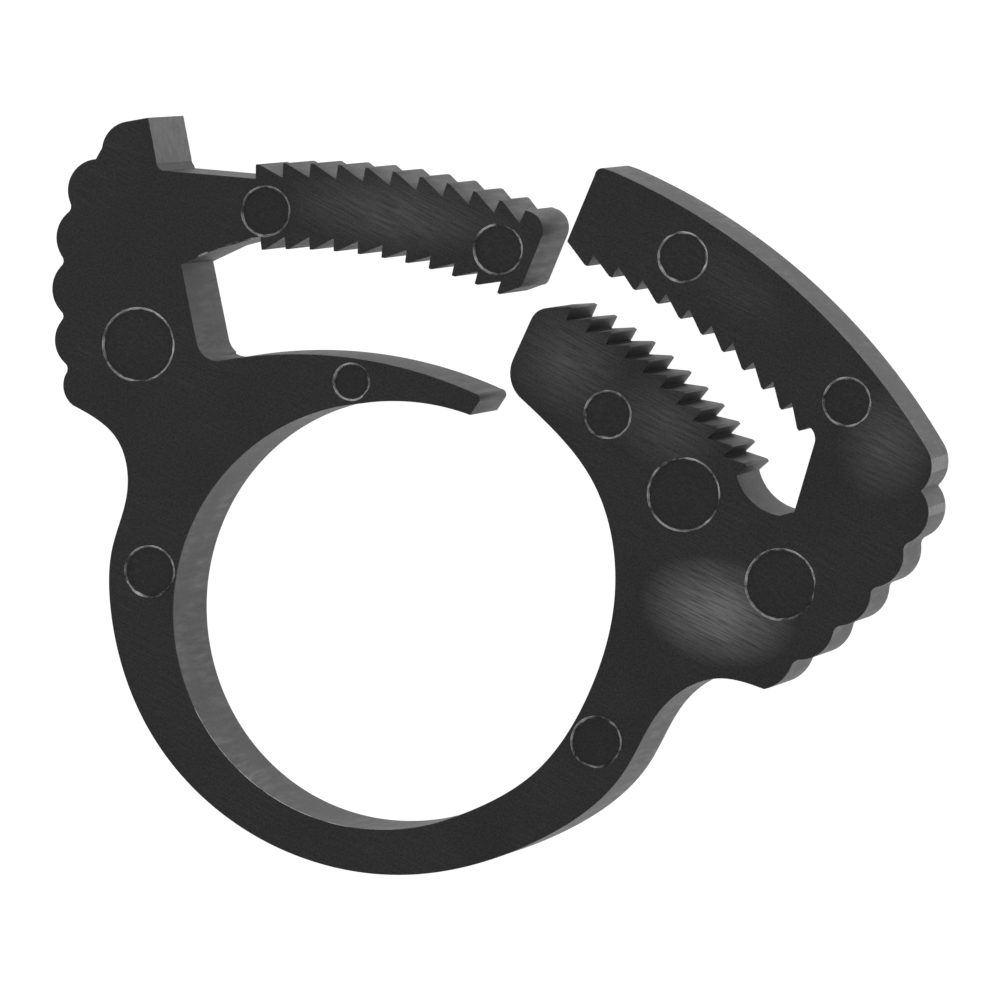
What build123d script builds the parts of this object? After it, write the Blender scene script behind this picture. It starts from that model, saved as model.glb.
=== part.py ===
"""Double-grip ratchet hose clamp, moulded in one piece of black nylon, shown in its open state.

The clamp lies flat. +Z is the axis of the bore that holds the hose, +X points from the tongue to the
fork and +Y from the ring to the heads. The origin is the centre of the bore on the underside.
The moulding is one piece, so it is divided here at its flexures: each node is one stiff zone, and the
slits between zones are the lines about which the plastic bends.
"""

import os
from math import atan2, cos, degrees, radians, sin, tan

from build123d import *

# ---------------------------------------------------------------- driving dimensions, millimetres
WIDTH = 8.0                    # length of the clamp along the hose
FAR = 60.0                     # beyond the clamp on every side
BORE_R = 15.1                  # bore radius as moulded
BORE_ROUND_FROM = 95.0         # the bore is truly round between these two angles, degrees
BORE_ROUND_TO = 290.0

TEETH = 11                     # teeth in each of the four rows
TIP_FLAT = 0.12                # half of the flat on top of a tooth, along the row

TONGUE_OUTER_CENTRE = (-5.9, -12.16)
TONGUE_OUTER_TIP_R = 44.15
TONGUE_OUTER_ROOT_R = 43.15
TONGUE_OUTER_FROM = 93.9       # angle of the first tip, at the root of the tongue
TONGUE_INNER_CENTRE = (-6.32, -12.72)
TONGUE_INNER_TIP_R = 38.62
TONGUE_INNER_ROOT_R = 39.5
TONGUE_INNER_FROM = 93.2
TONGUE_PITCH_DEG = 2.6

JAW_OUTER_CENTRE = (-0.12, -11.2)
JAW_OUTER_TIP_R = 39.13
JAW_OUTER_ROOT_R = 40.03
JAW_OUTER_FROM = 67.3          # angle of the first tip, at the mouth of the fork
JAW_OUTER_PITCH_DEG = 2.81
JAW_INNER_CENTRE = (-3.83, -11.25)
JAW_INNER_TIP_R = 37.6
JAW_INNER_ROOT_R = 36.65
JAW_INNER_FROM = 62.0
JAW_INNER_PITCH_DEG = 2.57

JAW_BACK_CENTRE = (-1.74, -13.06)   # back of the outer jaw
JAW_BACK_R = 48.33
JAW_BACK_FROM = 67.3
JAW_BACK_TO = 31.8

# scallops of the two finger grips: the notches between the bumps, and how far each bump stands out
LEFT_NOTCHES = [(-20.75, 32.2), (-22.4, 28.65), (-22.93, 24.9), (-22.95, 21.05), (-22.65, 17.4), (-22.5, 14.7)]
LEFT_BUMPS = [1.15, 1.0, 1.05, 1.0, 0.62]
RIGHT_NOTCHES = [(39.0, 9.35), (37.65, 5.6), (35.4, 2.55), (32.8, -0.15), (29.9, -2.55), (27.8, -4.7)]
RIGHT_BUMPS = [1.15, 0.98, 0.92, 0.88, 0.45]

PIN_MARK_DEPTH = 0.12          # round marks of the ejector pins: centre and radius
PIN_MARKS = [
    (-17.65, 19.1, 2.6), (-8.3, 28.6, 1.75), (8.6, 26.05, 1.75), (-2.05, 16.6, 1.3),
    (-16.85, 2.95, 1.8), (21.95, 25.6, 1.75), (33.7, 15.55, 1.75), (16.5, 14.5, 1.75),
    (22.0, 8.95, 2.6), (28.9, 2.7, 2.5), (15.7, -8.6, 1.8),
]

# ---------------------------------------------------------------- how the clamp closes, degrees
CLOSE_DEG = 28.9               # turn of the tongue head from open to fully closed
OPEN_DEG = 20.0                # turn the other way, when the ring is spread to go over the hose
# share of that turn at each flexure of the band, by its angle about the bore axis
BAND_SHARES = {210: 0.62, 245: 1.0, 300: 0.63}
TWIST_AT = 270                 # the band twists here when the tongue is pushed out sideways
BAND_MID_R = 16.7              # middle of the band's thickness
TONGUE_FLEX_DEG = 2.3
LIP_MIDDLE_FLEX_DEG = 12.4
LIP_TIP_FLEX_DEG = 3.4
INNER_JAW_FLEX_DEG = 1.2
OUTER_JAW_FLEX_DEG = 6.0
OUTER_JAW_SNAP_DEG = 6.0       # further lift of the outer jaw while a tooth rides over another
SLIT = 0.04                    # width of a slit at its flexure
SPARE_DEG = 0.35               # spare opening on each side of a slit

TONGUE_FLEXURE = (-10.5, 28.7)
TONGUE_SLIT_LEAN = 2.0         # the slit is square to the middle line of the tongue
LIP_MIDDLE_AT = 117            # flexures of the lip, by angle and radius about the bore axis
LIP_MIDDLE_R = 17.6
LIP_TIP_AT = 97
LIP_TIP_R = 16.7
LIP_TOP = 20.0                 # a height between the lip and the tongue
INNER_JAW_SEAM = ((16.2, 3.0), (27.5, 8.6))
OUTER_JAW_SEAM = ((30.3, 10.0), (40.0, 10.0))
OUTER_JAW_SNAP_SEAM = ((31.2, 13.0), (39.1, 13.0))

# ---------------------------------------------------------------- where the stiff zones meet
BAND_JOINS_TONGUE_HEAD_AT = 170
BAND_JOINS_FORK_HEAD_AT = 333
# line between the tongue side and the fork side
SIDES_PART = [(8.3, 14), (8.3, 22.4), (12.6, 22.6), (12.6, 60)]
FORK_GAP = [(28.6, 11.9), (20.7, 19.8), (13.3, 23.4)]   # middle of the gap between the jaws
TEETH_BACKING = 0.75           # plastic behind the tooth roots that belongs to a row of teeth
GRIP_DEPTH = 1.3               # plastic behind the notches that belongs to a finger grip
LIP_STARTS_FROM = (8.3, 5)     # a place inside the bore, past the tip of the lip
SLOT_Y = 20.5                  # a height inside the slot between the tongue and the lip
LEFT_GRIP_Y = (31.6, 13.0)     # top and bottom of the left finger grip
BAND_SLIT_REACH = 3.0          # from the middle of the band to beyond its faces
LIP_SLIT_REACH = (3.2, 2.4)


def polar(centre, radius, angle_deg):
    """Point at a radius and an angle about a centre."""
    angle = radians(angle_deg)
    return (centre[0] + radius * cos(angle), centre[1] + radius * sin(angle))


def row(centre, tip_r, root_r, first_deg, pitch_deg, steep_side):
    """Points of a row of ratchet teeth, in the order of falling angle.

    steep_side is +1 where the steep flank is at the larger angle and -1 where it is at the smaller.
    """
    flat = TIP_FLAT / tip_r * 57.3
    points = []
    for index in range(TEETH):
        tip = first_deg - index * pitch_deg
        high, low = polar(centre, tip_r, tip + flat), polar(centre, tip_r, tip - flat)
        if steep_side > 0:
            points += [polar(centre, root_r, tip + flat + 0.1), high, low]
        else:
            points += [high, low, polar(centre, root_r, tip - flat - 0.1)]
    return points


def bump(start, end, height):
    """Arc from one notch to the next that stands out to the left of the way from start to end."""
    dx, dy = end[0] - start[0], end[1] - start[1]
    length = (dx * dx + dy * dy) ** 0.5
    middle = ((start[0] + end[0]) / 2 - dy / length * height, (start[1] + end[1]) / 2 + dx / length * height)
    return ThreePointArc(start, middle, end)


def outline():
    """Closed outline of the whole moulding, clockwise, starting under the tip of the lip."""
    tongue_outer = row(TONGUE_OUTER_CENTRE, TONGUE_OUTER_TIP_R, TONGUE_OUTER_ROOT_R,
                       TONGUE_OUTER_FROM, TONGUE_PITCH_DEG, +1)
    tongue_inner = row(TONGUE_INNER_CENTRE, TONGUE_INNER_TIP_R, TONGUE_INNER_ROOT_R,
                       TONGUE_INNER_FROM, TONGUE_PITCH_DEG, +1)[::-1]
    jaw_inner = row(JAW_INNER_CENTRE, JAW_INNER_TIP_R, JAW_INNER_ROOT_R,
                    JAW_INNER_FROM, JAW_INNER_PITCH_DEG, -1)
    jaw_outer = row(JAW_OUTER_CENTRE, JAW_OUTER_TIP_R, JAW_OUTER_ROOT_R,
                    JAW_OUTER_FROM, JAW_OUTER_PITCH_DEG, -1)[::-1]
    round_from = polar((0, 0), BORE_R, BORE_ROUND_FROM)
    round_middle = polar((0, 0), BORE_R, (BORE_ROUND_FROM + BORE_ROUND_TO) / 2)
    round_to = polar((0, 0), BORE_R, BORE_ROUND_TO)
    leave = (-sin(radians(BORE_ROUND_TO)), cos(radians(BORE_ROUND_TO)))
    back_from = polar(JAW_BACK_CENTRE, JAW_BACK_R, JAW_BACK_FROM)
    back_middle = polar(JAW_BACK_CENTRE, JAW_BACK_R, (JAW_BACK_FROM + JAW_BACK_TO) / 2)
    back_to = polar(JAW_BACK_CENTRE, JAW_BACK_R, JAW_BACK_TO)
    left = LEFT_NOTCHES[::-1]
    edges = [
        # bore: underside of the lip, the round part, then the spiral that makes room for the lip
        ThreePointArc((6.6, 14.3), (2.8, 15.15), round_from),
        ThreePointArc(round_from, round_middle, round_to),
        Spline(round_to, (11.2, -10.9), (15.2, -5.1), (17.05, 1.9), (15.35, 9.9), (10.4, 15.4),
               tangents=[leave, (-0.74, 0.67)]),
        # nose of the inner jaw
        ThreePointArc((10.4, 15.4), (9.55, 16.7), (9.7, 18.3)),
        Line((9.7, 18.3), (11.0, 21.1)),
        ThreePointArc((11.0, 21.1), (11.45, 21.65), (12.1, 21.9)),
        Polyline((12.1, 21.9), *jaw_inner),
        # throat of the fork
        ThreePointArc(jaw_inner[-1], (27.15, 8.25), (28.9, 7.5)),
        Line((28.9, 7.5), (29.95, 7.8)),
        Line((29.95, 7.8), (31.35, 12.5)),
        ThreePointArc((31.35, 12.5), (31.38, 13.2), (31.0, 13.75)),
        Polyline((31.0, 13.75), *jaw_outer[1:]),
        # tip and back of the outer jaw
        Polyline(jaw_outer[-1], (13.6, 26.6), (15.6, 31.3)),
        ThreePointArc((15.6, 31.3), (15.85, 31.68), (16.3, 31.72)),
        Line((16.3, 31.72), back_from),
        ThreePointArc(back_from, back_middle, back_to),
        ThreePointArc(back_to, (39.75, 10.9), RIGHT_NOTCHES[0]),
        *[bump(a, b, h) for a, b, h in zip(RIGHT_NOTCHES, RIGHT_NOTCHES[1:], RIGHT_BUMPS)],
        # back of the band, from the fork round to the tongue head
        Spline(RIGHT_NOTCHES[-1], (24.5, -4.0), (20.7, -5.9), (17.8, -10.6), (11.2, -15.8), (1.2, -18.3),
               (-8.8, -15.9), (-16.3, -9.1), (-19.65, 0.6), (-18.5, 8.6), (-19.3, 12.4), left[0]),
        *[bump(a, b, h) for a, b, h in zip(left, left[1:], LEFT_BUMPS[::-1])],
        # top corner of the tongue head and the shoulder down to the tongue
        Line(left[-1], (-20.3, 33.0)),
        ThreePointArc((-20.3, 33.0), (-19.75, 34.2), (-18.6, 34.85)),
        Polyline((-18.6, 34.85), (-16.9, 35.15), (-16.3, 32.1)),
        ThreePointArc((-16.3, 32.1), (-16.1, 31.6), (-15.6, 31.4)),
        Polyline((-15.6, 31.4), *tongue_outer),
        # nose of the tongue
        ThreePointArc(tongue_outer[-1], (11.75, 27.9), (11.7, 26.7)),
        Line((11.7, 26.7), (10.4, 23.6)),
        ThreePointArc((10.4, 23.6), (10.2, 23.35), (9.9, 23.25)),
        Polyline((9.9, 23.25), *tongue_inner),
        # slot between the tongue and the lip
        Polyline(tongue_inner[-1], (-11.8, 25.9), (-14.5, 24.75), (-13.35, 19.2)),
        ThreePointArc((-13.35, 19.2), (-12.8, 18.3), (-11.8, 17.95)),
        # top and tip of the lip
        ThreePointArc((-11.8, 17.95), (-2.4, 18.3), (6.9, 15.85)),
        ThreePointArc((6.9, 15.85), (7.25, 15.6), (7.2, 15.2)),
        Line((7.2, 15.2), (6.6, 14.3)),
    ]
    return make_face(Wire([edge for piece in edges for edge in piece.edges()]))


def prism(*points):
    """Upright solid on a polygon, taller than the clamp, that cuts zones out of the moulding."""
    return Pos(0, 0, -1) * extrude(make_face(Polyline(*points, close=True)), WIDTH + 2)


def disc(centre, radius):
    """Upright cylinder, taller than the clamp."""
    return Pos(centre[0], centre[1], -1) * extrude(Circle(radius), WIDTH + 2)


def sector(from_deg, to_deg, radius=FAR):
    """Upright wedge about the bore axis between two angles."""
    middle = (from_deg + to_deg) / 2
    reach = radius / cos(radians((to_deg - from_deg) / 2))
    corners = [polar((0, 0), radius, from_deg), polar((0, 0), reach, middle), polar((0, 0), radius, to_deg)]
    return prism((0, 0), *corners)


def slit(pivot, along_deg, near, far, near_deg, far_deg):
    """Bow-tie slit through a flexure: thin at the pivot, wider towards the faces that close up.

    along_deg points from the near face to the far face, near and far are the distances to them, and
    near_deg and far_deg are the angles that each side takes up when the flexure bends.
    """
    ux, uy = cos(radians(along_deg)), sin(radians(along_deg))
    near_half = SLIT / 2 + near * tan(radians(near_deg / 2 + SPARE_DEG))
    far_half = SLIT / 2 + far * tan(radians(far_deg / 2 + SPARE_DEG))
    stations = [(-near, near_half), (0, SLIT / 2), (far, far_half)]
    one_side = [(pivot[0] + ux * s - uy * w, pivot[1] + uy * s + ux * w) for s, w in stations]
    other_side = [(pivot[0] + ux * s + uy * w, pivot[1] + uy * s - ux * w) for s, w in stations]
    return prism(*one_side, *other_side[::-1])


def middle_of(seam):
    """Middle of a seam given by its two ends."""
    return ((seam[0][0] + seam[1][0]) / 2, (seam[0][1] + seam[1][1]) / 2)


def seam_slit(seam, near_deg, far_deg):
    """Bow-tie slit along a seam, from its first end to its second, hinged at its middle."""
    (ax, ay), (bx, by) = seam
    half = ((bx - ax) ** 2 + (by - ay) ** 2) ** 0.5 / 2
    return slit(middle_of(seam), degrees(atan2(by - ay, bx - ax)), half + 0.5, half + 0.5, near_deg, far_deg)


def moulding():
    """The whole clamp as one solid, with its ejector-pin marks."""
    whole = extrude(outline(), WIDTH)
    for x, y, radius in PIN_MARKS:
        whole -= Pos(x, y, WIDTH - PIN_MARK_DEPTH) * extrude(Circle(radius), 1)
    return whole


def band(whole):
    """Band of the ring: a shoulder at each head and three links between four slits."""
    per_share = CLOSE_DEG / sum(BAND_SHARES.values())
    reach = BAND_SLIT_REACH
    slits = [slit(polar((0, 0), BAND_MID_R, TWIST_AT), TWIST_AT, reach, reach, 0, 0)]
    for angle, share in BAND_SHARES.items():
        pivot = polar((0, 0), BAND_MID_R, angle)
        closing = share * per_share
        slits.append(slit(pivot, angle, reach, reach, closing, closing * OPEN_DEG / CLOSE_DEG))
    ring = whole
    for cut in slits:
        ring -= cut
    cuts = sorted([*BAND_SHARES, TWIST_AT])
    zones = {"band_shoulder_left": ring & sector(BAND_JOINS_TONGUE_HEAD_AT, cuts[0])}
    for number, (start, end) in enumerate(zip(cuts, cuts[1:]), start=1):
        zones[f"band_link_{number}"] = ring & sector(start, end)
    zones["band_shoulder_right"] = ring & sector(cuts[-1], BAND_JOINS_FORK_HEAD_AT)
    return zones


def offset_line(points, distance):
    """The straight line through the first and last point, moved to the right by a distance."""
    (ax, ay), (bx, by) = points[0], points[-1]
    length = ((bx - ax) ** 2 + (by - ay) ** 2) ** 0.5
    nx, ny = (by - ay) / length * distance, -(bx - ax) / length * distance
    return (ax + nx, ay + ny), (bx + nx, by + ny)


def lip_zone(angle_deg):
    """Upright solid that holds the lip from an angle to its tip."""
    corner = polar((0, 0), LIP_TOP / sin(radians(angle_deg)), angle_deg)
    return prism((0, 0), LIP_STARTS_FROM, (LIP_STARTS_FROM[0], LIP_TOP), corner)


def tongue_side(whole):
    """Tongue head with its finger grip, the ratchet tongue with its teeth, and the lip."""
    head_edge = polar((0, 0), FAR, BAND_JOINS_TONGUE_HEAD_AT)
    side = whole & prism((0, 0), *SIDES_PART, (-FAR, FAR), head_edge)
    opening = OPEN_DEG / CLOSE_DEG
    middle_reach, tip_reach = LIP_SLIT_REACH
    reach = BAND_SLIT_REACH
    side -= slit(TONGUE_FLEXURE, 90 + TONGUE_SLIT_LEAN, reach, reach, TONGUE_FLEX_DEG, TONGUE_FLEX_DEG)
    side -= slit(polar((0, 0), LIP_MIDDLE_R, LIP_MIDDLE_AT), LIP_MIDDLE_AT, middle_reach, middle_reach,
                 LIP_MIDDLE_FLEX_DEG, LIP_MIDDLE_FLEX_DEG * opening)
    side -= slit(polar((0, 0), LIP_TIP_R, LIP_TIP_AT), LIP_TIP_AT, tip_reach, tip_reach,
                 LIP_TIP_FLEX_DEG, LIP_TIP_FLEX_DEG * opening)
    lean = tan(radians(TONGUE_SLIT_LEAN))
    low, high = (TONGUE_FLEXURE[0] + lean * (TONGUE_FLEXURE[1] - y) for y in (SLOT_Y, FAR))
    tongue = side & prism((low, SLOT_Y), (FAR, SLOT_Y), (FAR, FAR), (high, FAR))
    outer_core = disc(TONGUE_OUTER_CENTRE, TONGUE_OUTER_ROOT_R - TEETH_BACKING)
    inner_core = disc(TONGUE_INNER_CENTRE, TONGUE_INNER_ROOT_R + TEETH_BACKING)
    lip = side & lip_zone(LIP_MIDDLE_AT)
    lip_tip = lip & lip_zone(LIP_TIP_AT)
    head = side - tongue - lip
    grip_top, grip_bottom = offset_line(LEFT_NOTCHES[1:], -GRIP_DEPTH)
    top, bottom = LEFT_GRIP_Y
    grip_zone = prism((-FAR, top), (grip_top[0], top), grip_top, grip_bottom, (grip_bottom[0], bottom), (-FAR, bottom))
    return {
        "tongue_head": head - grip_zone,
        "finger_grip_left": head & grip_zone,
        "tongue": (tongue & outer_core) - inner_core,
        "tongue_outer_teeth": tongue - outer_core,
        "tongue_inner_teeth": tongue & inner_core,
        "lip_middle": lip - lip_tip,
        "lip_tip": lip_tip,
    }


def fork_side(whole):
    """Fork head with its finger grip, and the two jaws with their teeth."""
    band_edge = polar((0, 0), FAR, BAND_JOINS_FORK_HEAD_AT)
    side = whole & prism((0, 0), *SIDES_PART, (FAR, FAR), (FAR, 0), band_edge)
    opening = OPEN_DEG / CLOSE_DEG
    side -= seam_slit(INNER_JAW_SEAM, INNER_JAW_FLEX_DEG, INNER_JAW_FLEX_DEG * opening)
    side -= seam_slit(OUTER_JAW_SEAM, OUTER_JAW_FLEX_DEG * opening, OUTER_JAW_FLEX_DEG)
    side -= seam_slit(OUTER_JAW_SNAP_SEAM, 0, OUTER_JAW_SNAP_DEG)
    root_y, snap_y = OUTER_JAW_SEAM[0][1], OUTER_JAW_SNAP_SEAM[0][1]
    parts_x = SIDES_PART[-1][0] + 0.05
    inner_jaw = side & prism((0, 0), *INNER_JAW_SEAM, *FORK_GAP, (8, 23), (8, 14))
    above_root = side & prism(*OUTER_JAW_SEAM, (FAR, root_y), (FAR, FAR), (parts_x, FAR), *FORK_GAP[::-1])
    outer_jaw_root = above_root & prism((25, 0), (FAR, 0), (FAR, snap_y), (25, snap_y))
    outer_jaw = above_root - outer_jaw_root
    head = side - inner_jaw - above_root
    inner_core = disc(JAW_INNER_CENTRE, JAW_INNER_ROOT_R - TEETH_BACKING)
    outer_core = disc(JAW_OUTER_CENTRE, JAW_OUTER_ROOT_R + TEETH_BACKING)
    grip_top, grip_bottom = offset_line(RIGHT_NOTCHES[1:-1], GRIP_DEPTH + 0.5)
    grip_zone = prism(grip_top, (FAR, 9.0), (FAR, -10), (grip_bottom[0] - 1.5, -10), grip_bottom)
    return {
        "fork_head": head - grip_zone,
        "finger_grip_right": head & grip_zone,
        "inner_jaw": inner_jaw & inner_core,
        "inner_jaw_teeth": inner_jaw - inner_core,
        "outer_jaw_root": outer_jaw_root,
        "outer_jaw": outer_jaw - outer_core,
        "outer_jaw_teeth": outer_jaw & outer_core,
    }


def main():
    """Build every zone of the clamp and write one STEP file for each."""
    whole = moulding()
    zones = {**band(whole), **tongue_side(whole), **fork_side(whole)}
    os.makedirs("parts", exist_ok=True)
    for name, zone in zones.items():
        solids = zone.solids()
        export_step(Compound(solids) if len(solids) > 1 else solids[0], f"parts/{name}.step")
        print(name, [round(solid.volume, 2) for solid in solids])
    print("whole", round(whole.volume, 2), "zones", round(sum(z.volume for z in zones.values()), 2))


if __name__ == "__main__":
    main()
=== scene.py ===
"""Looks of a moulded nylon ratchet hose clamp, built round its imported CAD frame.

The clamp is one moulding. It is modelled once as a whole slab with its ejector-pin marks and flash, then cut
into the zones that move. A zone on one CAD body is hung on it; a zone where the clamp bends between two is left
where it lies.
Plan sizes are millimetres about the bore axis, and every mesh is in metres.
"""

import logging
from dataclasses import dataclass, field
from enum import Enum
from math import atan2, ceil, cos, degrees, pi, radians, sin
from typing import Sequence

import bpy
import numpy as np
from mathutils import Matrix, Vector


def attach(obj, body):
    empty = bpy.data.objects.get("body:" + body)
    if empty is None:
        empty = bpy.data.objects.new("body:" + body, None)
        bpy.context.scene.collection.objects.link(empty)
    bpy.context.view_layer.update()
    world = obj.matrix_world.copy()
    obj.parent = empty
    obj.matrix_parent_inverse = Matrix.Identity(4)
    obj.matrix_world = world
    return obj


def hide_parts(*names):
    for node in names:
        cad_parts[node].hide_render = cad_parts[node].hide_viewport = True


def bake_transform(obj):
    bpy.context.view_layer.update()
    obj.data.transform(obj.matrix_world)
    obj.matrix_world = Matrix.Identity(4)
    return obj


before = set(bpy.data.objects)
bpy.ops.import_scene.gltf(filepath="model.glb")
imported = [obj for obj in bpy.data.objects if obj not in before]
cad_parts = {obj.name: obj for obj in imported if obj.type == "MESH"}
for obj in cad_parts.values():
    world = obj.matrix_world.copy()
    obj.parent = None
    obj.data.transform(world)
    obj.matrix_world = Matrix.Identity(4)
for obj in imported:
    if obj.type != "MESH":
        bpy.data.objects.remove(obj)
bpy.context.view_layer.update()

LOG = logging.getLogger("hose_clamp")
Point = tuple[float, float]

MM = 0.001
WIDTH = 8.0            # length of the clamp along the hose
FAR = 60.0             # beyond the clamp on every side
ARC_STEP = 0.35        # longest chord along a curve
ARC_TURN_DEG = 8.0     # most that a curve turns from one chord to the next
NOTCH_SOFT = 0.5       # how far from a notch its rounding reaches
SAME_POINT = 1e-4      # points nearer than this are one
RING_SIDES = 72        # sides of a pin mark and of the flash round it
BEAD_SIDES = 8         # sides of a bead of flash
CUT_PAST = 2.0         # how far a cutting shape reaches above and below the clamp


# ------------------------------------------------------------------ points in plan


def polar(centre: Point, radius: float, angle_deg: float) -> Point:
    """Give the point at a radius and an angle about a centre."""
    angle = radians(angle_deg)
    return (centre[0] + radius * cos(angle), centre[1] + radius * sin(angle))


def at(point: Point, height: float = WIDTH / 2) -> tuple[float, float, float]:
    """Give a plan point and a height, both in millimetres, as a place in metres."""
    return (point[0] * MM, point[1] * MM, height * MM)


@dataclass
class ToothRow:
    """A row of ratchet teeth along an arc.

    Attributes:
        centre: Middle of the arc.
        tip_r: Radius to the tips.
        root_r: Radius to the roots.
        first_deg: Angle of the first tip.
        pitch_deg: Angle from one tip to the next.
        steep_high: True where the steep flank is at the larger angle.
        teeth: Number of teeth.
        tip_flat: Half of the flat on a tip.
    """

    centre: Point
    tip_r: float
    root_r: float
    first_deg: float
    pitch_deg: float
    steep_high: bool
    teeth: int = 11
    tip_flat: float = 0.12

    def points(self) -> list[Point]:
        """Give the corners of the row, in the order of falling angle."""
        flat = degrees(self.tip_flat / self.tip_r)
        found: list[Point] = []
        for index in range(self.teeth):
            tip = self.first_deg - index * self.pitch_deg
            high, low = polar(self.centre, self.tip_r, tip + flat), polar(self.centre, self.tip_r, tip - flat)
            if self.steep_high:
                found += [polar(self.centre, self.root_r, tip + flat + 0.1), high, low]
            else:
                found += [high, low, polar(self.centre, self.root_r, tip - flat - 0.1)]
        return found


@dataclass
class Pen:
    """Draws a line in plan, and keeps the points it passes."""

    points: list[Point] = field(default_factory=list)

    def to(self, *places: Point) -> None:
        """Draw straight lines through places."""
        for place in places:
            if not self.points or (Vector(place) - Vector(self.points[-1])).length > SAME_POINT:
                self.points.append(place)

    def arc(self, middle: Point, end: Point) -> None:
        """Draw an arc from where the pen is.

        Args:
            middle: A point that the arc passes.
            end: Where the arc ends.
        """
        start = self.points[-1]
        (ax, ay), (bx, by), (cx, cy) = start, middle, end
        d = 2 * (ax * (by - cy) + bx * (cy - ay) + cx * (ay - by))
        a2, b2, c2 = ax * ax + ay * ay, bx * bx + by * by, cx * cx + cy * cy
        ux = (a2 * (by - cy) + b2 * (cy - ay) + c2 * (ay - by)) / d
        uy = (a2 * (cx - bx) + b2 * (ax - cx) + c2 * (bx - ax)) / d
        radius = ((ax - ux) ** 2 + (ay - uy) ** 2) ** 0.5
        first, through, last = (atan2(y - uy, x - ux) for x, y in (start, middle, end))
        turn = (last - first) % (2 * pi)
        if (through - first) % (2 * pi) > turn:
            turn -= 2 * pi
        steps = max(2, ceil(abs(turn) * radius / ARC_STEP), ceil(degrees(abs(turn)) / ARC_TURN_DEG))
        for step in range(1, steps):
            self.to(polar((ux, uy), radius, degrees(first + turn * step / steps)))
        self.to(end)

    def spline(self, *places: Point, leave: Point | None = None, arrive: Point | None = None) -> None:
        """Draw a smooth curve through places from where the pen is.

        Args:
            places: Points that the curve passes.
            leave: Unit direction at the start, or None where the end is free.
            arrive: Unit direction at the end, or None where the end is free.
        """
        p = np.array([self.points[-1], *places], float)
        h = np.linalg.norm(np.diff(p, axis=0), axis=1)
        chord = np.diff(p, axis=0) / h[:, None]
        count = len(p)
        rows, right = np.zeros((count, count)), np.zeros((count, 2))
        for i in range(1, count - 1):
            rows[i, i - 1 : i + 2] = h[i], 2 * (h[i - 1] + h[i]), h[i - 1]
            right[i] = 3 * (h[i] * chord[i - 1] + h[i - 1] * chord[i])
        rows[0, :2], right[0] = ((1, 0), leave) if leave else ((2, 1), 3 * chord[0])
        rows[-1, -2:], right[-1] = ((0, 1), arrive) if arrive else ((1, 2), 3 * chord[-1])
        slope = np.linalg.solve(rows, right)
        for i in range(count - 1):
            steps = max(2, ceil(h[i] / ARC_STEP))
            for step in range(1, steps + 1):
                t = step / steps
                q = ((2 * t**3 - 3 * t**2 + 1) * p[i] + (3 * t**2 - 2 * t**3) * p[i + 1]
                     + h[i] * ((t**3 - 2 * t**2 + t) * slope[i] + (t**3 - t**2) * slope[i + 1]))
                self.to((float(q[0]), float(q[1])))

    def scallops(self, notches: Sequence[Point], heights: Sequence[float]) -> None:
        """Draw the bumps of a finger grip, each an arc that stands out to the left, with soft notches between.

        Args:
            notches: The notches, from the first end of the grip to the last.
            heights: How far each bump stands out from the line between its notches.
        """
        row = Pen([notches[0]])
        for (ax, ay), (bx, by), height in zip(notches, notches[1:], heights):
            dx, dy = bx - ax, by - ay
            length = (dx * dx + dy * dy) ** 0.5
            row.arc(((ax + bx) / 2 - dy / length * height, (ay + by) / 2 + dx / length * height), (bx, by))
        corner: Vector | None = None
        for place in row.points:
            near = [n for n in notches[1:-1] if (Vector(place) - Vector(n)).length < NOTCH_SOFT]
            if near:
                corner = Vector(near[0])
                continue
            if corner is not None:
                start, end = Vector(self.points[-1]), Vector(place)
                for t in (0.25, 0.5, 0.75):
                    self.to((start * (1 - t) ** 2 + corner * 2 * t * (1 - t) + end * t * t)[:])
                corner = None
            self.to(place)


# ------------------------------------------------------------------ mesh operators


def pick(piece: bpy.types.Object) -> None:
    """Select one object alone and make it active."""
    bpy.ops.object.select_all(action="DESELECT")
    piece.select_set(True)
    bpy.context.view_layer.objects.active = piece


def modify(piece: bpy.types.Object, kind: str, **settings: object) -> None:
    """Add a modifier to a piece and apply it.

    Args:
        piece: Object to change.
        kind: Blender's name for the modifier.
        settings: Values to set on it.
    """
    pick(piece)
    bpy.ops.object.modifier_add(type=kind)
    modifier = piece.modifiers[-1]
    for key, value in settings.items():
        setattr(modifier, key, value)
    bpy.ops.object.modifier_apply(modifier=modifier.name)


def discard(piece: bpy.types.Object) -> None:
    """Delete an object and its mesh."""
    mesh = piece.data
    bpy.data.objects.remove(piece)
    bpy.data.meshes.remove(mesh)


def combine(piece: bpy.types.Object, tool: bpy.types.Object, operation: str) -> None:
    """Cut or join a piece with a tool shape by a Boolean modifier, and delete the tool.

    Args:
        piece: Object to change.
        tool: Object that cuts it or is added to it.
        operation: UNION, DIFFERENCE or INTERSECT.
    """
    modify(piece, "BOOLEAN", operation=operation, object=tool, solver="MANIFOLD")
    discard(tool)


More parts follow.
